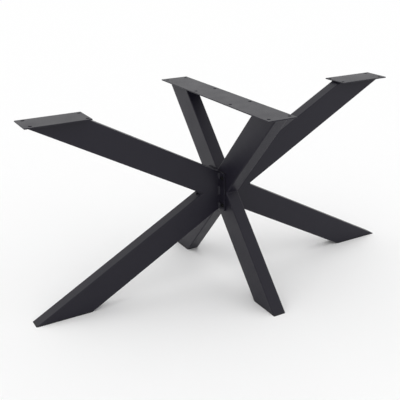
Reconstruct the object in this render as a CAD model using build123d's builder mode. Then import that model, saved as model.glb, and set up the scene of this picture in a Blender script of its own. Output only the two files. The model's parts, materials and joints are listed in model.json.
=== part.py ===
"""Spider table base: a short X frame of rectangular tube with a V frame bolted to each side.

The long axis is X and the short axis is Y. The base stands on the floor at Z = 0, and the
origin is on the floor under the hub, where the centre lines of all eight legs meet.
"""

from build123d import *
from math import atan2, cos, degrees, pi, sin, tan
import os

# Overall sizes
height = 720.0
hub_height = 366.0
long_foot_x = 668.0
short_foot_y = 329.0

# Rectangular tube of every leg
tube_width = 100.0
tube_thickness = 50.0
tube_wall = 2.0
tube_corner = 4.0
vent_diameter = 10.0
vent_from_fork = 12.0

# Top plates
plate_thickness = 4.0
plate_width = 114.0
plate_corner = 2.0
end_plate_outer_overhang = 4.5
end_plate_inner_overhang = 12.5
centre_plate_overhang = 7.0
plate_edge_chamfer = 0.6
plate_hole_diameter = 13.0
hole_inset = 23.5
end_hole_pitch = 190.0
centre_inner_hole_pitch = 250.0

# Flanges, and the bolts that hold them to the centre frame
flange_thickness = 6.0
flange_margin = 1.0
flange_corner = 3.0
bolt_edge = 11.0
bolt_diameter = 8.0
bolt_length = 25.0
bolt_head_diameter = 14.0
bolt_head_height = 4.4
bolt_head_round = 3.9
bolt_socket_width = 5.0
bolt_socket_depth = 2.8
bolt_hole_clearance = 0.5
washer_diameter = 16.0
washer_thickness = 1.6
sleeve_diameter = 16.0
sleeve_from_crossing = 23.0
sleeve_clearance = 0.1
thread_clearance = 0.1

# Foot caps
cap_base = 3.0
cap_depth = 14.0
cap_wall = 2.5
cap_clearance = 0.2
smallest_corner = 0.5

# Weld beads
bead_leg = 5.0
flange_bead_leg = 7.0
fork_bead_leg = 3.0
bead_crown = 0.5
flange_bead_length = 36.0
flange_end_bead_length = 24.0
flange_end_bead_height = 59.0
end_plate_bead_length = 60.0
centre_plate_bead_length = 80.0

# Leg angles, and where the centre lines reach the underside of the top plates
plate_underside = height - plate_thickness
long_angle = atan2(hub_height, long_foot_x)
short_angle = atan2(hub_height, short_foot_y)
long_top_x = (plate_underside - hub_height) / tan(long_angle)
short_top_y = (plate_underside - hub_height) / tan(short_angle)
long_cut = tube_width / sin(long_angle)
short_cut = tube_width / sin(short_angle)
hub = Vector(0, 0, hub_height)
beyond_any_leg = height + long_foot_x + short_foot_y

# Faces that the pieces meet on
centre_face = tube_thickness / 2
flange_face = centre_face + flange_thickness
side_face = tube_thickness / 2
flat_run = tube_thickness - 2 * tube_corner
hub_plane = Plane.XY.offset(hub_height)
top_cut_plane = Plane.XY.offset(plate_underside)
foot_cut_plane = Plane.XY.offset(cap_base)
fork_opening = 2 * long_angle
fork_x = tube_width / 2 / sin(long_angle)

# Bolts stand on the centre lines of the short legs, clear of the crossing
crossing_angle = pi - 2 * short_angle
bolt_reach = tube_width / 2 / sin(crossing_angle) + sleeve_from_crossing
bolt_y = bolt_reach * cos(short_angle)
bolt_z = bolt_reach * sin(short_angle)
flange_width = 2 * (bolt_y + bolt_edge)
flange_height = 2 * (tube_width / 2 / cos(long_angle) + flange_face * tan(long_angle) + flange_margin)

# Holes stand midway between the tube's side and the edge of the plate
hole_gauge = (tube_thickness + plate_width) / 2
end_plate_length = long_cut + end_plate_outer_overhang + end_plate_inner_overhang
end_plate_x = long_top_x + (end_plate_outer_overhang - end_plate_inner_overhang) / 2
centre_plate_length = 2 * short_top_y + short_cut + 2 * centre_plate_overhang
centre_outer_hole_pitch = centre_plate_length - 2 * hole_inset

sides = {"left": -1, "right": 1}
ends = {"front": -1, "back": 1}


def long_leg_plane(side, rise):
    """Plane across a side frame's leg, facing outwards from the hub."""
    axis = (side * cos(long_angle), 0, rise * sin(long_angle))
    return Plane(origin=hub, x_dir=(0, 1, 0), z_dir=axis)


def short_leg_plane(end, rise):
    """Plane across a leg of the centre frame, facing outwards from the hub."""
    axis = (0, end * cos(short_angle), rise * sin(short_angle))
    return Plane(origin=hub, x_dir=(1, 0, 0), z_dir=axis)


def tube_section(plane):
    """Hollow section of the rectangular tube."""
    with BuildSketch(plane) as section:
        RectangleRounded(tube_thickness, tube_width, tube_corner)
        offset(amount=-tube_wall, mode=Mode.SUBTRACT)
    return section.sketch


def inset_section(plane, inset):
    """Solid section of the tube's outline, drawn in by an inset."""
    with BuildSketch(plane) as section:
        corner = max(tube_corner - inset, smallest_corner)
        RectangleRounded(tube_thickness - 2 * inset, tube_width - 2 * inset, corner)
    return section.sketch


def bead_section(corner, opening, leg=bead_leg):
    """Weld bead in a corner: a leg along each face, and a slightly full outer face."""
    throat = leg * cos(opening / 2) + bead_crown
    start = (leg, 0)
    crown = (throat * cos(opening / 2), throat * sin(opening / 2))
    end = (leg * cos(opening), leg * sin(opening))
    with BuildSketch(corner) as section:
        with BuildLine():
            Polyline(end, (0, 0), start)
            ThreePointArc(start, crown, end)
        make_face()
    return section.sketch


def break_edges(plate, axis):
    """Chamfer the outer edges of a plate's two sides, as deburring leaves them."""
    plate_sides = plate.faces().sort_by(axis)
    outer_edges = plate_sides[0].outer_wire().edges() + plate_sides[-1].outer_wire().edges()
    chamfer(outer_edges, length=plate_edge_chamfer)


def save(piece, name):
    """Label a finished piece and write it."""
    piece.part.label = name
    export_step(piece.part, f"parts/{name}.step")


os.makedirs("parts", exist_ok=True)

# Centre frame: one leg runs through the hub, and the other two are cut to its sides
through_plane = short_leg_plane(ends["back"], 1)
with BuildPart() as centre_through_leg:
    extrude(tube_section(through_plane), amount=beyond_any_leg, both=True)
    split(bisect_by=top_cut_plane, keep=Keep.BOTTOM)
    split(bisect_by=foot_cut_plane, keep=Keep.TOP)
    with BuildSketch(Plane.YZ.offset(-centre_face)):
        with Locations((bolt_y, hub_height + bolt_z), (-bolt_y, hub_height - bolt_z)):
            Circle(sleeve_diameter / 2 + sleeve_clearance)
    extrude(amount=tube_thickness, mode=Mode.SUBTRACT)
save(centre_through_leg, "centre_through_leg")

stubs = {"centre_front_upper_leg": (ends["front"], 1), "centre_back_lower_leg": (ends["back"], -1)}
for name, (end, rise) in stubs.items():
    towards_stub = through_plane.y_dir * -rise
    through_side = Plane(origin=hub + towards_stub * tube_width / 2, z_dir=towards_stub)
    with BuildPart() as stub:
        extrude(tube_section(short_leg_plane(end, rise)), amount=beyond_any_leg)
        split(bisect_by=through_side, keep=Keep.TOP)
        split(bisect_by=top_cut_plane, keep=Keep.BOTTOM)
        split(bisect_by=foot_cut_plane, keep=Keep.TOP)
        with BuildSketch(Plane.YZ.offset(-centre_face)):
            with Locations((end * bolt_y, hub_height + rise * bolt_z)):
                Circle(sleeve_diameter / 2 + sleeve_clearance)
        extrude(amount=tube_thickness, mode=Mode.SUBTRACT)
    save(stub, name)

with BuildPart() as centre_top_plate:
    with BuildSketch(top_cut_plane):
        RectangleRounded(plate_width, centre_plate_length, plate_corner)
        for pitch in (centre_outer_hole_pitch, centre_inner_hole_pitch):
            with GridLocations(hole_gauge, pitch, 2, 2):
                Circle(plate_hole_diameter / 2, mode=Mode.SUBTRACT)
    extrude(amount=plate_thickness)
    break_edges(centre_top_plate, Axis.Z)
save(centre_top_plate, "centre_top_plate")

with BuildPart() as threaded_sleeves:
    with BuildSketch(Plane.YZ.offset(-centre_face)):
        with Locations((0, hub_height)):
            with GridLocations(2 * bolt_y, 2 * bolt_z, 2, 2):
                Circle(sleeve_diameter / 2)
                Circle(bolt_diameter / 2 + thread_clearance, mode=Mode.SUBTRACT)
    extrude(amount=tube_thickness)
save(threaded_sleeves, "threaded_sleeves")

# Beads in the four corners of the crossing, and on both sides of each leg under the plate
crossing_corners = (
    (Vector(0, 0, 1), crossing_angle),
    (Vector(0, 1, 0), pi - crossing_angle),
    (Vector(0, 0, -1), crossing_angle),
    (Vector(0, -1, 0), pi - crossing_angle),
)
with BuildPart() as centre_welds:
    for direction, opening in crossing_corners:
        corner_centre = hub + direction * (tube_width / 2 / sin(opening / 2))
        first_face = direction.rotate(Axis.X, -degrees(opening / 2))
        corner = Plane(origin=corner_centre, x_dir=first_face, z_dir=(1, 0, 0))
        extrude(bead_section(corner, opening), amount=flat_run / 2, both=True)
    for end in ends.values():
        for side in sides.values():
            corner = Plane(
                origin=(side * centre_face, end * short_top_y, plate_underside),
                x_dir=(side, 0, 0),
                z_dir=(0, side, 0),
            )
            extrude(bead_section(corner, pi / 2), amount=centre_plate_bead_length / 2, both=True)
save(centre_welds, "centre_welds")

# Side frames: two mitred legs behind a flange that is bolted to the centre frame
for side_name, side in sides.items():
    flange_inner_plane = Plane(hub + Vector(side * centre_face, 0, 0), x_dir=(0, 1, 0), z_dir=(side, 0, 0))
    flange_outer_plane = flange_inner_plane.offset(flange_thickness)

    with BuildPart() as upper_leg:
        extrude(tube_section(long_leg_plane(side, 1)), amount=beyond_any_leg)
        split(bisect_by=flange_outer_plane, keep=Keep.TOP)
        split(bisect_by=hub_plane, keep=Keep.TOP)
        split(bisect_by=top_cut_plane, keep=Keep.BOTTOM)
    save(upper_leg, f"{side_name}_upper_leg")

    lower_axis = long_leg_plane(side, -1)
    lower_up = Vector(side * sin(long_angle), 0, cos(long_angle))
    vent_reach = tube_width / 2 / tan(long_angle) + vent_from_fork
    vent_centre = hub + lower_axis.z_dir * vent_reach + lower_up * tube_width / 2
    with BuildPart() as lower_leg:
        extrude(tube_section(lower_axis), amount=beyond_any_leg)
        split(bisect_by=flange_outer_plane, keep=Keep.TOP)
        split(bisect_by=hub_plane, keep=Keep.BOTTOM)
        split(bisect_by=foot_cut_plane, keep=Keep.TOP)
        with Locations(Plane(origin=vent_centre, x_dir=(0, 1, 0), z_dir=lower_up)):
            Hole(radius=vent_diameter / 2, depth=2 * tube_wall)
    save(lower_leg, f"{side_name}_lower_leg")

    with BuildPart() as flange:
        with BuildSketch(flange_inner_plane):
            RectangleRounded(flange_width, flange_height, flange_corner)
            with GridLocations(2 * bolt_y, 2 * bolt_z, 2, 2):
                Circle(bolt_diameter / 2 + bolt_hole_clearance, mode=Mode.SUBTRACT)
        extrude(amount=flange_thickness)
        break_edges(flange, Axis.X)
    save(flange, f"{side_name}_flange")

    outer_hole_x = end_plate_length / 2 - hole_inset
    with BuildPart() as top_plate:
        with BuildSketch(Plane(origin=(side * end_plate_x, 0, plate_underside))):
            RectangleRounded(end_plate_length, plate_width, plate_corner)
            with Locations((side * (outer_hole_x - end_hole_pitch / 2), 0)):
                with GridLocations(end_hole_pitch, hole_gauge, 2, 2):
                    Circle(plate_hole_diameter / 2, mode=Mode.SUBTRACT)
        extrude(amount=plate_thickness)
        break_edges(top_plate, Axis.Z)
    save(top_plate, f"{side_name}_top_plate")

    # Three beads up each side of the flange, one across the fork, and one each side under the plate
    bead_runs = {
        hub_height: flange_bead_length,
        hub_height + flange_end_bead_height: flange_end_bead_length,
        hub_height - flange_end_bead_height: flange_end_bead_length,
    }
    with BuildPart() as welds:
        for end in ends.values():
            for bead_height, bead_length in bead_runs.items():
                corner = Plane(
                    origin=(side * flange_face, end * side_face, bead_height),
                    x_dir=(side, 0, 0),
                    z_dir=(0, 0, side * end),
                )
                extrude(bead_section(corner, pi / 2, flange_bead_leg), amount=bead_length / 2, both=True)
            corner = Plane(
                origin=(side * long_top_x, end * side_face, plate_underside),
                x_dir=(0, end, 0),
                z_dir=(-end, 0, 0),
            )
            extrude(bead_section(corner, pi / 2), amount=end_plate_bead_length / 2, both=True)
        corner = Plane(origin=(side * fork_x, 0, hub_height), x_dir=lower_axis.z_dir, z_dir=(0, -side, 0))
        extrude(bead_section(corner, fork_opening, fork_bead_leg), amount=flat_run / 2, both=True)
    save(welds, f"{side_name}_welds")

    with BuildPart() as washers:
        with BuildSketch(flange_outer_plane):
            with GridLocations(2 * bolt_y, 2 * bolt_z, 2, 2):
                Circle(washer_diameter / 2)
                Circle(bolt_diameter / 2 + bolt_hole_clearance, mode=Mode.SUBTRACT)
        extrude(amount=washer_thickness)
    save(washers, f"{side_name}_washers")

    head_seat = flange_outer_plane.offset(washer_thickness)
    with BuildPart() as bolts:
        with BuildSketch(head_seat):
            with GridLocations(2 * bolt_y, 2 * bolt_z, 2, 2):
                Circle(bolt_head_diameter / 2)
        extrude(amount=bolt_head_height)
        head_rims = bolts.edges().filter_by(GeomType.CIRCLE).group_by(Axis.X)[-1 if side > 0 else 0]
        fillet(head_rims, radius=bolt_head_round)
        with BuildSketch(head_seat.offset(bolt_head_height)):
            with GridLocations(2 * bolt_y, 2 * bolt_z, 2, 2):
                RegularPolygon(bolt_socket_width / 2, 6, major_radius=False)
        extrude(amount=-bolt_socket_depth, mode=Mode.SUBTRACT)
        with BuildSketch(head_seat):
            with GridLocations(2 * bolt_y, 2 * bolt_z, 2, 2):
                Circle(bolt_diameter / 2)
        extrude(amount=-bolt_length)
    save(bolts, f"{side_name}_bolts")

# Foot caps: a base with the tube's outline, and a hollow plug inside the tube
cap_planes = {
    "left_foot_cap": long_leg_plane(sides["left"], -1),
    "right_foot_cap": long_leg_plane(sides["right"], -1),
    "front_foot_cap": short_leg_plane(ends["front"], -1),
    "back_foot_cap": short_leg_plane(ends["back"], -1),
}
plug_inset = tube_wall + cap_clearance
plug_top_plane = foot_cut_plane.offset(cap_depth)
for name, leg_plane in cap_planes.items():
    with BuildPart() as plug:
        extrude(inset_section(leg_plane, plug_inset), amount=beyond_any_leg)
        extrude(inset_section(leg_plane, plug_inset + cap_wall), amount=beyond_any_leg, mode=Mode.SUBTRACT)
        split(bisect_by=plug_top_plane, keep=Keep.BOTTOM)
        split(bisect_by=foot_cut_plane, keep=Keep.TOP)
    with BuildPart() as foot_cap:
        extrude(inset_section(leg_plane, 0), amount=beyond_any_leg)
        split(bisect_by=foot_cut_plane, keep=Keep.BOTTOM)
        split(bisect_by=Plane.XY, keep=Keep.TOP)
        add(plug.part)
    save(foot_cap, name)
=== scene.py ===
"""Looks of the spider table base: powder coat, weld beads, screws, foot caps and a white studio.

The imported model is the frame. Every piece made here is in metres and sits where the frame says:
the long side lies along X, the floor is at Z = 0 and the hub is over the origin.
"""

import json
import math
from typing import NamedTuple

import bmesh
import bpy
from bpy.props import FloatProperty, FloatVectorProperty, PointerProperty
from bpy.types import Operator, Panel, PropertyGroup
from mathutils import Matrix, Vector


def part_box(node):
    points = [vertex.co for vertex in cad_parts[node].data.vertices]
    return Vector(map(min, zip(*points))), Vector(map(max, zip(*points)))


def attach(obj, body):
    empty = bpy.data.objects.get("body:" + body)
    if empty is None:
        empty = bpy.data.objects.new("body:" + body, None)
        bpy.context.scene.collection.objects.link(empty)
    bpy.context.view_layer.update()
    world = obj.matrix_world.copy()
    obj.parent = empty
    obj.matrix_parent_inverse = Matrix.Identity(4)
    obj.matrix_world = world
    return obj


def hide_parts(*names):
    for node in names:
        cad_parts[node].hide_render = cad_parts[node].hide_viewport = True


bl_info = {
    "name": "Spider Table Base",
    "version": (1, 0, 0),
    "blender": (4, 5, 0),
    "location": "3D View > Sidebar > Table Base",
    "description": "Finishes the frame of a spider table base and stands it in a white studio",
    "category": "Object",
}

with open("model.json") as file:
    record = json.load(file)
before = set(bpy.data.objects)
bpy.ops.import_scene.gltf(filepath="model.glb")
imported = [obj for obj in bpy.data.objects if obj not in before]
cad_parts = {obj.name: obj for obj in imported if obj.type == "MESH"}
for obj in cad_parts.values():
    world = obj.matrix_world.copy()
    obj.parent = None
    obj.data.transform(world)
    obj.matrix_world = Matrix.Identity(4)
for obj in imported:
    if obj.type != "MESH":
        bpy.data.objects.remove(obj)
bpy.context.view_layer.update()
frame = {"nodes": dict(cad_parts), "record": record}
MM = 0.001

# Nodes of the frame, by finish
LEGS = (
    "centre_through_leg",
    "centre_front_upper_leg",
    "centre_back_lower_leg",
    "left_upper_leg",
    "left_lower_leg",
    "right_upper_leg",
    "right_lower_leg",
)
PLATES = ("centre_top_plate", "left_top_plate", "right_top_plate", "left_flange", "right_flange")
FOOT_CAPS = ("left_foot_cap", "right_foot_cap", "front_foot_cap", "back_foot_cap")
SLEEVES = ("threaded_sleeves",)

SIDES = {"left": -1, "right": 1}
ENDS = (-1, 1)
DOWN = Vector((0, 0, -1))

# Places and sizes read from the frame
MOUNTS = {mount["name"]: Vector(mount["pos_m"]) for mount in frame["record"]["mounts"]}
FLANGE_LOW, FLANGE_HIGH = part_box("right_flange")
HUB = Vector((0.0, 0.0, (FLANGE_LOW.z + FLANGE_HIGH.z) / 2))
FLANGE_FACE = FLANGE_HIGH.x
CENTRE_FACE = FLANGE_LOW.x
LEG_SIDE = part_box("right_upper_leg")[1].y
PLATE_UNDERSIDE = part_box("centre_top_plate")[0].z
LONG_ANGLE = math.atan2(HUB.z, MOUNTS["right_foot"].x)
SHORT_ANGLE = math.atan2(HUB.z, MOUNTS["back_foot"].y)
LONG_TOP_X = (PLATE_UNDERSIDE - HUB.z) / math.tan(LONG_ANGLE)
SHORT_TOP_Y = (PLATE_UNDERSIDE - HUB.z) / math.tan(SHORT_ANGLE)
WASHER_LOW, WASHER_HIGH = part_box("right_washers")
WASHER_THICKNESS = WASHER_HIGH.x - WASHER_LOW.x

# Tube of the legs, which the frame's boxes don't give
TUBE_WIDTH = 100 * MM
TUBE_CORNER = 4 * MM

# A noise seldom leaves this range
NOISE_LOW = 0.3
NOISE_HIGH = 0.7

# How finely the new pieces are divided
ARC_STEPS = 8
STEPS_PER_RIPPLE = 6
SCREW_SEGMENTS = 36
HEAD_ROUND_SEGMENTS = 7
SOCKET_SIDES = 6
WASHER_SEGMENTS = 48
WASHER_ROUND_SEGMENTS = 2
SHARP_ANGLE = math.radians(40)
FLAT_NORMAL = 0.99

# Each screw stopped at another turn of its socket
SOCKET_TURN = math.radians(47)


def length(name, description, default):
    """Property for a size in metres."""
    return FloatProperty(
        name=name, description=description, default=default, min=0.0, precision=5, unit="LENGTH"
    )


def share(name, description, default):
    """Property for a value from nothing to all."""
    return FloatProperty(
        name=name, description=description, default=default, min=0.0, max=1.0, subtype="FACTOR"
    )


def colour(name, description, default):
    """Property for a colour."""
    return FloatVectorProperty(
        name=name, description=description, default=default, min=0.0, max=1.0, size=3, subtype="COLOR"
    )


def angle(name, description, default):
    """Property for an angle."""
    return FloatProperty(name=name, description=description, default=default, subtype="ANGLE")


class CoatSettings(PropertyGroup):
    """Powder coat of the legs, plates and welds."""

    colour: colour("Colour", "Colour of the coat", (0.0100, 0.0090, 0.0156))
    speck_colour: colour("Specks", "Colour of the lighter specks in the coat", (0.0190, 0.0175, 0.0270))
    roughness: share("Roughness", "Mean roughness of the coat", 0.42)
    roughness_spread: share("Roughness spread", "How far the roughness drifts from its mean", 0.03)
    shine: share("Shine", "Strength of the reflections", 0.25)
    grain: length("Grain", "Size of the fine texture", 0.9 * MM)
    grain_depth: length("Grain depth", "Depth of the fine texture", 0.1 * MM)
    flow: length("Flow", "Size of the waves where the powder ran together", 5 * MM)
    flow_depth: length("Flow depth", "Depth of those waves", 0.1 * MM)
    drift: length("Drift", "Size of the patches of different roughness", 90 * MM)


class BeadSettings(PropertyGroup):
    """Weld beads."""

    leg: length("Leg", "Leg of the beads under the plates", 5 * MM)
    crossing_leg: length("Crossing leg", "Leg of the beads in the crossing", 2.5 * MM)
    flange_leg: length("Flange leg", "Leg of the beads beside the flanges", 8.5 * MM)
    fork_leg: length("Fork leg", "Leg of the beads in the forks", 6.5 * MM)
    fork_length: length("Fork bead", "Length of the beads in the forks", 49 * MM)
    flange_length: length("Flange bead", "Length of the middle bead beside a flange", 36 * MM)
    flange_end_length: length("Flange end bead", "Length of the end beads beside a flange", 24 * MM)
    flange_end_height: length("Flange end height", "Height of the end beads from the hub", 59 * MM)
    end_plate_length: length("End plate bead", "Length of the beads under the end plates", 60 * MM)
    centre_plate_length: length("Centre plate bead", "Length of the beads under the centre plate", 80 * MM)
    crown: length("Crown", "How far a bead stands proud of a flat face", 0.9 * MM)
    hollow: length("Hollow", "How far the beads in the crossing sink below a flat face", 0.4 * MM)
    ripple: length("Ripple", "Distance from ripple to ripple", 2.6 * MM)
    ripple_height: share("Ripple height", "Height of the ripples as a share of the bead", 0.08)
    toe_calm: share("Toe calm", "How much of the ripples dies away at the toes", 0.8)
    crescent: length("Crescent", "How far the ripples bow along the bead", 3 * MM)
    wander: share("Wander", "How far a bead swells and narrows, as a share of the bead", 0.035)
    wander_length: length("Wander length", "Distance from swell to swell", 19 * MM)
    run_out: share("Run-out", "Length over which a bead's ends run out, in legs", 0.7)
    end_size: share("End size", "Size of a bead's very end, as a share of the bead", 0.4)


class ScrewSettings(PropertyGroup):
    """Button head screws and washers of the flanges."""

    head_diameter: length("Head diameter", "Diameter of the head", 14 * MM)
    head_height: length("Head height", "Height of the head", 4.4 * MM)
    head_round: length("Head round", "Radius that rounds the head", 3.8 * MM)
    socket_width: length("Socket width", "Width across the flats of the socket", 5 * MM)
    socket_depth: length("Socket depth", "Depth of the socket", 2.8 * MM)
    shank_diameter: length("Shank diameter", "Diameter of the shank", 8 * MM)
    shank_length: length("Shank length", "Length under the head", 25 * MM)
    tip_chamfer: length("Tip chamfer", "Chamfer at the end of the shank", 1 * MM)
    washer_diameter: length("Washer diameter", "Outer diameter of the washers", 16 * MM)
    washer_hole: length("Washer hole", "Diameter of the hole in the washers", 9 * MM)
    edge_round: length("Edge round", "Radius on the edges of the washers", 0.3 * MM)
    colour: colour("Colour", "Colour of the black oxide", (0.0030, 0.0030, 0.0036))
    worn_colour: colour("Worn colour", "Colour of the paler patches", (0.0070, 0.0068, 0.0070))
    patch: length("Patch", "Size of the paler patches", 4 * MM)
    roughness: share("Roughness", "Mean roughness of the black oxide", 0.5)
    roughness_spread: share("Roughness spread", "How far the roughness drifts from its mean", 0.06)
    shine: share("Shine", "Strength of the reflections", 0.12)
    grain: length("Grain", "Size of the fine texture", 0.4 * MM)
    grain_depth: length("Grain depth", "Depth of the fine texture", 0.01 * MM)


class SleeveSettings(PropertyGroup):
    """Turned steel sleeves inside the legs."""

    colour: colour("Colour", "Colour of the steel", (0.42, 0.42, 0.43))
    dull_colour: colour("Dull colour", "Colour of the duller patches", (0.30, 0.30, 0.31))
    roughness: share("Roughness", "Mean roughness of the steel", 0.38)
    roughness_spread: share("Roughness spread", "How far the roughness drifts from its mean", 0.08)
    cut: length("Cut", "Distance between the marks of the lathe", 0.25 * MM)
    cut_depth: length("Cut depth", "Depth of those marks", 0.01 * MM)
    cut_scale: share("Cut scale", "Scale of the marks round the sleeve, which draws them out", 0.04)


class CapSettings(PropertyGroup):
    """Moulded foot caps."""

    colour: colour("Colour", "Colour of the plastic", (0.0062, 0.0062, 0.0070))
    scuff_colour: colour("Scuffs", "Colour of the paler scuffs", (0.0120, 0.0120, 0.0130))
    scuff: length("Scuff", "Size of the paler scuffs", 14 * MM)
    roughness: share("Roughness", "Mean roughness of the plastic", 0.525)
    roughness_spread: share("Roughness spread", "How far the roughness drifts from its mean", 0.075)
    shine: share("Shine", "Strength of the reflections", 0.3)
    grain: length("Grain", "Size of the moulded texture", 0.9 * MM)
    grain_depth: length("Grain depth", "Depth of the moulded texture", 0.05 * MM)


class StageSettings(PropertyGroup):
    """Camera, floor and light."""

    camera_place: FloatVectorProperty(
        name="Camera",
        description="Where the camera stands",
        default=(-1.3073, -2.2259, 1.3155),
        size=3,
        subtype="TRANSLATION",
        unit="LENGTH",
    )
    camera_turn: angle("Turn", "Turn of the view from +Y towards +X", 0.54435)
    camera_tilt: angle("Tilt", "Tilt of the view above the horizon", -0.37109)
    camera_roll: angle("Roll", "Roll about the line of view", -0.0036)
    camera_lens: FloatProperty(
        name="Lens", description="Focal length", default=64.36, min=1.0, unit="CAMERA"
    )
    camera_shift: FloatVectorProperty(
        name="Shift", description="Shift of the lens, in frame widths", default=(-0.08, 0.0), size=2
    )
    floor_width: length("Floor width", "Width of the floor", 60.0)
    floor_colour: colour("Floor colour", "Colour of the floor", (0.94, 0.94, 0.94))
    sky: FloatProperty(
        name="Sky", description="Strength of the light from all round", default=1.06, min=0.0
    )


class Finish:
    """A material being made: its nodes, its shader and a texture on Object coordinates."""

    def __init__(self, name):
        self.material = bpy.data.materials.new(name)
        self.material.use_nodes = True
        self.tree = self.material.node_tree
        self.shader = self.tree.nodes["Principled BSDF"]
        self.place = self.tree.nodes.new("ShaderNodeTexCoord").outputs["Object"]

    def link(self, output, node, socket):
        self.tree.links.new(output, node.inputs[socket])

    def set(self, **values):
        """Set values that are the same all over the surface."""
        for socket, value in values.items():
            self.shader.inputs[socket.replace("_", " ")].default_value = value

    def noise(self, size, detail=2.0):
        """Noise with grains of about this size."""
        node = self.tree.nodes.new("ShaderNodeTexNoise")
        node.inputs["Scale"].default_value = 1 / size
        node.inputs["Detail"].default_value = detail
        self.link(self.place, node, "Vector")
        return node.outputs["Fac"]

    def roughen(self, value, settings):
        """Let the roughness drift about its mean with a noise."""
        node = self.tree.nodes.new("ShaderNodeMapRange")
        ranges = {
            "From Min": NOISE_LOW,
            "From Max": NOISE_HIGH,
            "To Min": settings.roughness - settings.roughness_spread,
            "To Max": settings.roughness + settings.roughness_spread,
        }
        for socket, number in ranges.items():
            node.inputs[socket].default_value = number
        self.link(value, node, "Value")
        self.link(node.outputs["Result"], self.shader, "Roughness")

    def two_colours(self, value, first, second, start=0.35, end=0.65):
        """Run from one colour to another over a noise."""
        node = self.tree.nodes.new("ShaderNodeValToRGB")
        for stop, position, rgb in zip(node.color_ramp.elements, (start, end), (first, second)):
            stop.position = position
            stop.color = (*rgb, 1.0)
        self.link(value, node, "Fac")
        self.link(node.outputs["Color"], self.shader, "Base Color")

    def relief(self, *layers):
        """Bump the surface by layers of noise, each with its depth."""
        normal = None
        for height, depth in layers:
            node = self.tree.nodes.new("ShaderNodeBump")
            node.inputs["Distance"].default_value = depth
            self.link(height, node, "Height")
            if normal:
                self.link(normal, node, "Normal")
            normal = node.outputs["Normal"]
        self.link(normal, self.shader, "Normal")


def powder_coat(settings):
    """Matte black powder coat with a fine texture, made once."""
    made = bpy.data.materials.get("matte_black_coat")
    if made:
        return made
    coat = Finish("matte_black_coat")
    grain = coat.noise(settings.grain, detail=3.0)
    flow = coat.noise(settings.flow)
    coat.set(Specular_IOR_Level=settings.shine)
    coat.two_colours(grain, settings.colour, settings.speck_colour, start=0.5, end=0.75)
    coat.roughen(coat.noise(settings.drift), settings)
    coat.relief((flow, settings.flow_depth), (grain, settings.grain_depth))
    return coat.material


def black_oxide(settings):
    """Oiled black oxide of the screws and washers, made once."""
    made = bpy.data.materials.get("black_oxide")
    if made:
        return made
    oxide = Finish("black_oxide")
    patches = oxide.noise(settings.patch, detail=4.0)
    oxide.set(Specular_IOR_Level=settings.shine)
    oxide.two_colours(patches, settings.colour, settings.worn_colour)
    oxide.roughen(patches, settings)
    oxide.relief((oxide.noise(settings.grain), settings.grain_depth))
    return oxide.material


def turned_steel(settings):
    """Bare turned steel, with the marks of the lathe drawn out round the sleeve."""
    steel = Finish("turned_steel")
    stretch = steel.tree.nodes.new("ShaderNodeMapping")
    stretch.inputs["Scale"].default_value = (1.0, settings.cut_scale, settings.cut_scale)
    steel.link(steel.place, stretch, "Vector")
    steel.place = stretch.outputs["Vector"]
    marks = steel.noise(settings.cut)
    steel.set(Metallic=1.0)
    steel.two_colours(marks, settings.dull_colour, settings.colour)
    steel.roughen(marks, settings)
    steel.relief((marks, settings.cut_depth))
    return steel.material


def moulded_plastic(settings):
    """Black plastic with the grain of its mould and a few scuffs."""
    plastic = Finish("moulded_plastic")
    grain = plastic.noise(settings.grain, detail=1.0)
    scuffs = plastic.noise(settings.scuff, detail=5.0)
    plastic.set(Specular_IOR_Level=settings.shine)
    plastic.two_colours(scuffs, settings.colour, settings.scuff_colour, start=0.45, end=0.75)
    plastic.roughen(scuffs, settings)
    plastic.relief((grain, settings.grain_depth))
    return plastic.material


def finish_nodes(names, material):
    """Put a material on nodes of the frame."""
    for name in names:
        materials = frame["nodes"][name].data.materials
        materials.clear()
        materials.append(material)


def add_object(name, bm, material):
    """Close a bmesh into an object at the origin."""
    mesh = bpy.data.meshes.new(name)
    bm.to_mesh(mesh)
    bm.free()
    mesh.materials.append(material)
    piece = bpy.data.objects.new(name, mesh)
    bpy.context.scene.collection.objects.link(piece)
    return piece


def add_piece(name, bm, material, node):
    """Add a piece that rides on the base and stands for a node of the frame."""
    bmesh.ops.recalc_face_normals(bm, faces=bm.faces)
    if any(not edge.is_manifold for edge in bm.edges):
        raise RuntimeError(f"{name} is not closed")
    piece = add_object(name, bm, material)
    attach(piece, "root")
    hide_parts(node)


def add_copy(bm, part, place):
    """Add a copy of a part to a bmesh, at a place."""
    mesh = bpy.data.meshes.new("copy")
    part.to_mesh(mesh)
    mesh.transform(place)
    bm.from_mesh(mesh)
    bpy.data.meshes.remove(mesh)


def only(kind, items):
    """The vertices or the edges among what an operator made."""
    return [item for item in items if isinstance(item, kind)]


class Bead(NamedTuple):
    """A weld bead: its corner, the directions of the two faces that it joins, its run, leg and crown."""

    corner: Vector
    first_face: Vector
    second_face: Vector
    run: float
    leg: float
    crown: float


def centre_beads(settings):
    """Beads in the four corners of the crossing, and on both sides of each leg under the centre plate."""
    flat_run = 2 * (CENTRE_FACE - TUBE_CORNER)
    beads = []
    for end in ENDS:
        for direction, half in (((0, 0, end), math.pi / 2 - SHORT_ANGLE), ((0, end, 0), SHORT_ANGLE)):
            bisector = Vector(direction)
            first = Matrix.Rotation(-half, 3, "X") @ bisector
            second = Matrix.Rotation(half, 3, "X") @ bisector
            corner = HUB + bisector * TUBE_WIDTH / 2 / math.sin(half)
            beads.append(Bead(corner, first, second, flat_run, settings.crossing_leg, -settings.hollow))
        for side in SIDES.values():
            corner = Vector((side * CENTRE_FACE, end * SHORT_TOP_Y, PLATE_UNDERSIDE))
            across = Vector((side, 0, 0))
            run = settings.centre_plate_length
            beads.append(Bead(corner, across, DOWN, run, settings.leg, settings.crown))
    return beads


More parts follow.
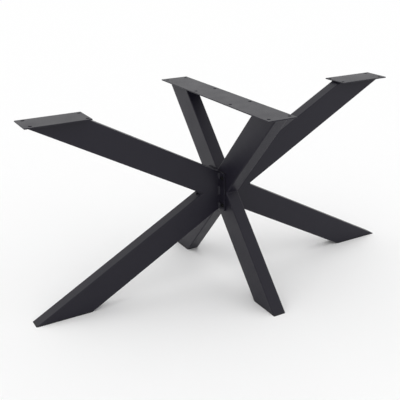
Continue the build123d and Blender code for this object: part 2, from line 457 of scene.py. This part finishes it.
def side_beads(settings, side):
    """Beads beside a flange, in the fork and under an end plate."""
    outwards = Vector((side, 0, 0))
    flange_runs = (
        (0.0, settings.flange_length),
        (settings.flange_end_height, settings.flange_end_length),
        (-settings.flange_end_height, settings.flange_end_length),
    )
    beads = []
    for end in ENDS:
        across = Vector((0, end, 0))
        for rise, run in flange_runs:
            corner = HUB + Vector((side * FLANGE_FACE, end * LEG_SIDE, rise))
            beads.append(Bead(corner, outwards, across, run, settings.flange_leg, settings.crown))
        corner = Vector((side * LONG_TOP_X, end * LEG_SIDE, PLATE_UNDERSIDE))
        beads.append(Bead(corner, across, DOWN, settings.end_plate_length, settings.leg, settings.crown))
    fork = HUB + outwards * TUBE_WIDTH / 2 / math.sin(LONG_ANGLE)
    lower_face = Vector((side * math.cos(LONG_ANGLE), 0, -math.sin(LONG_ANGLE)))
    upper_face = Vector((side * math.cos(LONG_ANGLE), 0, math.sin(LONG_ANGLE)))
    run = settings.fork_length
    beads.append(Bead(fork, lower_face, upper_face, run, settings.fork_leg, settings.crown))
    return beads


def bead_section(bead):
    """Flat face of a bead's section: the corner, and a full or hollow outer face spun as an arc."""
    half = bead.first_face.angle(bead.second_face) / 2
    chord = bead.leg * math.sin(half)
    radius = (chord**2 + bead.crown**2) / (2 * bead.crown)
    reach = bead.leg * math.cos(half) + bead.crown - radius
    middle = Vector((math.cos(half), math.sin(half), 0)) * reach
    sweep = 2 * math.asin(chord / radius)
    bm = bmesh.new()
    toe = bm.verts.new((bead.leg, 0, 0))
    bmesh.ops.spin(bm, geom=[toe], cent=middle, axis=(0, 0, 1), angle=sweep, steps=ARC_STEPS)
    corner = bm.verts.new((0, 0, 0))
    bm.verts.ensure_lookup_table()
    bm.faces.new([corner] + [vert for vert in bm.verts if vert is not corner])
    return bm


def bead_mesh(bead, settings):
    """A bead: its section drawn along the corner, swollen into ripples and run out at both ends."""
    opening = bead.first_face.angle(bead.second_face)
    along = bead.first_face.cross(bead.second_face).normalized()
    upright = along.cross(bead.first_face)
    steps = round(bead.run / settings.ripple * STEPS_PER_RIPPLE)
    bm = bead_section(bead)
    bmesh.ops.translate(bm, vec=(0, 0, -bead.run / 2), verts=bm.verts)
    bmesh.ops.spin(
        bm,
        geom=bm.verts[:] + bm.edges[:] + bm.faces[:],
        axis=(0, 0, 1),
        dvec=(0, 0, bead.run / steps),
        angle=0.0,
        steps=steps,
    )
    for vert in bm.verts:
        across = 2 * math.atan2(vert.co.y, vert.co.x) / opening - 1
        bowed = vert.co.z + settings.crescent * across**2
        height = settings.ripple_height * (1 - settings.toe_calm * across**2)
        ripple = height * math.cos(2 * math.pi * bowed / settings.ripple)
        wander = settings.wander * math.sin(2 * math.pi * vert.co.z / settings.wander_length)
        from_end = (bead.run / 2 - abs(vert.co.z)) / (settings.run_out * bead.leg)
        short_of_full = min(1.0, max(0.0, 1 - from_end))
        rounded = math.sqrt(1 - short_of_full**2)
        size = settings.end_size + (1 - settings.end_size) * rounded
        swell = size * (1 + ripple + wander)
        vert.co.x *= swell
        vert.co.y *= swell
    for face in bm.faces:
        face.smooth = True
    axes = Matrix((bead.first_face, upright, along)).transposed().to_4x4()
    bmesh.ops.transform(bm, matrix=Matrix.Translation(bead.corner) @ axes, verts=bm.verts)
    return bm


def screw_mesh(settings):
    """A button head screw with its seat at the origin and its head along +Z."""
    bm = bmesh.new()
    bmesh.ops.create_cone(
        bm,
        cap_ends=True,
        segments=SCREW_SEGMENTS,
        radius1=settings.head_diameter / 2,
        radius2=settings.head_diameter / 2,
        depth=settings.head_height,
        matrix=Matrix.Translation((0, 0, settings.head_height / 2)),
    )
    rim = [edge for edge in bm.edges if all(vert.co.z > settings.head_height / 2 for vert in edge.verts)]
    bmesh.ops.bevel(
        bm,
        geom=rim,
        offset=settings.head_round,
        segments=HEAD_ROUND_SEGMENTS,
        profile=0.5,
        affect="EDGES",
        material=-1,
    )
    for face in bm.faces:
        face.smooth = abs(face.normal.z) < FLAT_NORMAL
    seat = min(bm.faces, key=lambda face: face.calc_center_median().z)
    neck = (settings.head_diameter - settings.shank_diameter) / 2
    bmesh.ops.inset_individual(bm, faces=[seat], thickness=neck, use_even_offset=True)
    shank = bmesh.ops.extrude_face_region(bm, geom=[seat])["geom"]
    bmesh.ops.delete(bm, geom=[seat], context="FACES_ONLY")
    tip = only(bmesh.types.BMVert, shank)
    bmesh.ops.translate(bm, vec=(0, 0, -settings.shank_length), verts=tip)
    bmesh.ops.bevel(
        bm,
        geom=only(bmesh.types.BMEdge, shank),
        offset=settings.tip_chamfer,
        segments=1,
        profile=0.5,
        affect="EDGES",
        material=-1,
    )
    cut_socket(bm, settings)
    return bm


def cut_socket(bm, settings):
    """Open the top of a screw's head into a hexagonal socket."""
    top = max(bm.faces, key=lambda face: face.calc_center_median().z)
    mouth = top.edges[:]
    bmesh.ops.delete(bm, geom=[top], context="FACES_ONLY")
    bmesh.ops.create_circle(
        bm,
        segments=SOCKET_SIDES,
        radius=settings.socket_width / 2 / math.cos(math.pi / SOCKET_SIDES),
        matrix=Matrix.Translation((0, 0, settings.head_height)),
    )
    flats = [edge for edge in bm.edges if edge.is_wire]
    bmesh.ops.subdivide_edges(bm, edges=flats, cuts=SCREW_SEGMENTS // SOCKET_SIDES - 1)
    flats = [edge for edge in bm.edges if edge.is_wire]
    bmesh.ops.bridge_loops(bm, edges=mouth + flats)
    walls = bmesh.ops.extrude_edge_only(bm, edges=flats)["geom"]
    floor = only(bmesh.types.BMVert, walls)
    bmesh.ops.translate(bm, vec=(0, 0, -settings.socket_depth), verts=floor)
    bmesh.ops.contextual_create(bm, geom=only(bmesh.types.BMEdge, walls))


def washer_mesh(settings):
    """A plain washer with its seat at the origin, rounded at its edges."""
    bm = bmesh.new()
    for diameter in (settings.washer_diameter, settings.washer_hole):
        bmesh.ops.create_circle(bm, segments=WASHER_SEGMENTS, radius=diameter / 2)
    bmesh.ops.bridge_loops(bm, edges=bm.edges[:])
    raised = bmesh.ops.extrude_face_region(bm, geom=bm.faces[:], use_keep_orig=True)["geom"]
    top = only(bmesh.types.BMVert, raised)
    bmesh.ops.translate(bm, vec=(0, 0, WASHER_THICKNESS), verts=top)
    bmesh.ops.recalc_face_normals(bm, faces=bm.faces)
    bmesh.ops.bevel(
        bm,
        geom=[edge for edge in bm.edges if edge.calc_face_angle(0.0) > SHARP_ANGLE],
        offset=settings.edge_round,
        segments=WASHER_ROUND_SEGMENTS,
        profile=0.5,
        affect="EDGES",
        material=-1,
    )
    return bm


def bolt_places(settings, side, seat):
    """Places of the four bolts of a flange, with +Z pointing outwards."""
    bolt_y = WASHER_HIGH.y - settings.washer_diameter / 2
    bolt_z = WASHER_HIGH.z - HUB.z - settings.washer_diameter / 2
    corners = [(y, z) for y in (-bolt_y, bolt_y) for z in (-bolt_z, bolt_z)]
    outwards = Matrix.Rotation(side * math.pi / 2, 4, "Y")
    places = []
    for number, (y, z) in enumerate(corners):
        turn = Matrix.Rotation(number * SOCKET_TURN, 4, "Z")
        places.append(Matrix.Translation(HUB + Vector((side * seat, y, z))) @ outwards @ turn)
    return places


def fasten(kind, part, node, seat, settings):
    """Put a copy of a screw or washer at each bolt of both flanges."""
    for name, side in SIDES.items():
        bm = bmesh.new()
        for place in bolt_places(settings, side, seat):
            add_copy(bm, part, place)
        add_piece(f"{name}_{kind}", bm, black_oxide(settings), f"{name}_{node}")
    part.free()


class TABLEBASE_OT_legs(Operator):
    """Coat the legs"""

    bl_idname = "tablebase.legs"
    bl_label = "Legs"

    def execute(self, context):
        finish_nodes(LEGS, powder_coat(context.scene.tablebase_coat))
        return {"FINISHED"}


class TABLEBASE_OT_plates(Operator):
    """Coat the top plates and flanges"""

    bl_idname = "tablebase.plates"
    bl_label = "Plates"

    def execute(self, context):
        finish_nodes(PLATES, powder_coat(context.scene.tablebase_coat))
        return {"FINISHED"}


class TABLEBASE_OT_beads(Operator):
    """Lay the rippled weld beads"""

    bl_idname = "tablebase.beads"
    bl_label = "Weld Beads"

    def execute(self, context):
        settings = context.scene.tablebase_beads
        coat = powder_coat(context.scene.tablebase_coat)
        runs = {"centre": centre_beads(settings)}
        for name, side in SIDES.items():
            runs[name] = side_beads(settings, side)
        for name, beads in runs.items():
            bm = bmesh.new()
            for bead in beads:
                part = bead_mesh(bead, settings)
                add_copy(bm, part, Matrix.Identity(4))
                part.free()
            add_piece(f"{name}_weld_beads", bm, coat, f"{name}_welds")
        return {"FINISHED"}


class TABLEBASE_OT_screws(Operator):
    """Put in the screws of the flanges"""

    bl_idname = "tablebase.screws"
    bl_label = "Screws"

    def execute(self, context):
        settings = context.scene.tablebase_screws
        fasten("screws", screw_mesh(settings), "bolts", FLANGE_FACE + WASHER_THICKNESS, settings)
        return {"FINISHED"}


class TABLEBASE_OT_washers(Operator):
    """Put washers under the screws"""

    bl_idname = "tablebase.washers"
    bl_label = "Washers"

    def execute(self, context):
        settings = context.scene.tablebase_screws
        fasten("plain_washers", washer_mesh(settings), "washers", FLANGE_FACE, settings)
        return {"FINISHED"}


class TABLEBASE_OT_sleeves(Operator):
    """Give the threaded sleeves their bare steel"""

    bl_idname = "tablebase.sleeves"
    bl_label = "Sleeves"

    def execute(self, context):
        finish_nodes(SLEEVES, turned_steel(context.scene.tablebase_sleeves))
        return {"FINISHED"}


class TABLEBASE_OT_foot_caps(Operator):
    """Give the foot caps their plastic"""

    bl_idname = "tablebase.foot_caps"
    bl_label = "Foot Caps"

    def execute(self, context):
        finish_nodes(FOOT_CAPS, moulded_plastic(context.scene.tablebase_caps))
        return {"FINISHED"}


class TABLEBASE_OT_stage(Operator):
    """Stand the base on a white floor, in soft light, before the camera"""

    bl_idname = "tablebase.stage"
    bl_label = "Stage"

    def execute(self, context):
        settings = context.scene.tablebase_stage
        self.make_floor(settings)
        self.make_sky(context.scene, settings)
        self.make_camera(context.scene, settings)
        context.scene.view_settings.view_transform = "Standard"
        return {"FINISHED"}

    def make_floor(self, settings):
        """White paper, wide enough to fill the view."""
        bm = bmesh.new()
        bmesh.ops.create_grid(bm, x_segments=1, y_segments=1, size=settings.floor_width / 2)
        paper = bpy.data.materials.new("white_paper")
        paper.use_nodes = True
        shader = paper.node_tree.nodes["Principled BSDF"]
        shader.inputs["Base Color"].default_value = (*settings.floor_colour, 1.0)
        shader.inputs["Roughness"].default_value = 1.0
        shader.inputs["Specular IOR Level"].default_value = 0.0
        add_object("floor", bm, paper)

    def make_sky(self, scene, settings):
        """Even white light from all round."""
        sky = bpy.data.worlds.new("studio_sky")
        sky.use_nodes = True
        light = sky.node_tree.nodes["Background"]
        light.inputs["Color"].default_value = (1.0, 1.0, 1.0, 1.0)
        light.inputs["Strength"].default_value = settings.sky
        scene.world = sky

    def make_camera(self, scene, settings):
        """The photograph's view: turned from +Y, tilted down and rolled a little."""
        camera = bpy.data.cameras.new("camera")
        camera.lens = settings.camera_lens
        camera.shift_x, camera.shift_y = settings.camera_shift
        stand = bpy.data.objects.new("camera", camera)
        turn = Matrix.Rotation(-settings.camera_turn, 4, "Z")
        tilt = Matrix.Rotation(math.pi / 2 + settings.camera_tilt, 4, "X")
        roll = Matrix.Rotation(settings.camera_roll, 4, "Z")
        stand.matrix_world = Matrix.Translation(settings.camera_place) @ turn @ tilt @ roll
        scene.collection.objects.link(stand)
        scene.camera = stand


class TABLEBASE_PT_panel(Panel):
    """Steps of the table base"""

    bl_idname = "TABLEBASE_PT_panel"
    bl_label = "Spider Table Base"
    bl_space_type = "VIEW_3D"
    bl_region_type = "UI"
    bl_category = "Table Base"

    def draw(self, context):
        for step in STEPS:
            self.layout.operator(step.bl_idname)


SETTINGS = {
    "tablebase_coat": CoatSettings,
    "tablebase_beads": BeadSettings,
    "tablebase_screws": ScrewSettings,
    "tablebase_sleeves": SleeveSettings,
    "tablebase_caps": CapSettings,
    "tablebase_stage": StageSettings,
}
STEPS = (
    TABLEBASE_OT_legs,
    TABLEBASE_OT_plates,
    TABLEBASE_OT_beads,
    TABLEBASE_OT_screws,
    TABLEBASE_OT_washers,
    TABLEBASE_OT_sleeves,
    TABLEBASE_OT_foot_caps,
    TABLEBASE_OT_stage,
)
CLASSES = (*SETTINGS.values(), *STEPS, TABLEBASE_PT_panel)


def register():
    for each in CLASSES:
        bpy.utils.register_class(each)
    for name, group in SETTINGS.items():
        setattr(bpy.types.Scene, name, PointerProperty(type=group))


def unregister():
    for name in SETTINGS:
        delattr(bpy.types.Scene, name)
    for each in reversed(CLASSES):
        bpy.utils.unregister_class(each)


def main():
    register()
    bpy.ops.tablebase.legs()
    bpy.ops.tablebase.plates()
    bpy.ops.tablebase.beads()
    bpy.ops.tablebase.screws()
    bpy.ops.tablebase.washers()
    bpy.ops.tablebase.sleeves()
    bpy.ops.tablebase.foot_caps()
    bpy.ops.tablebase.stage()


if __name__ == "__main__":
    main()
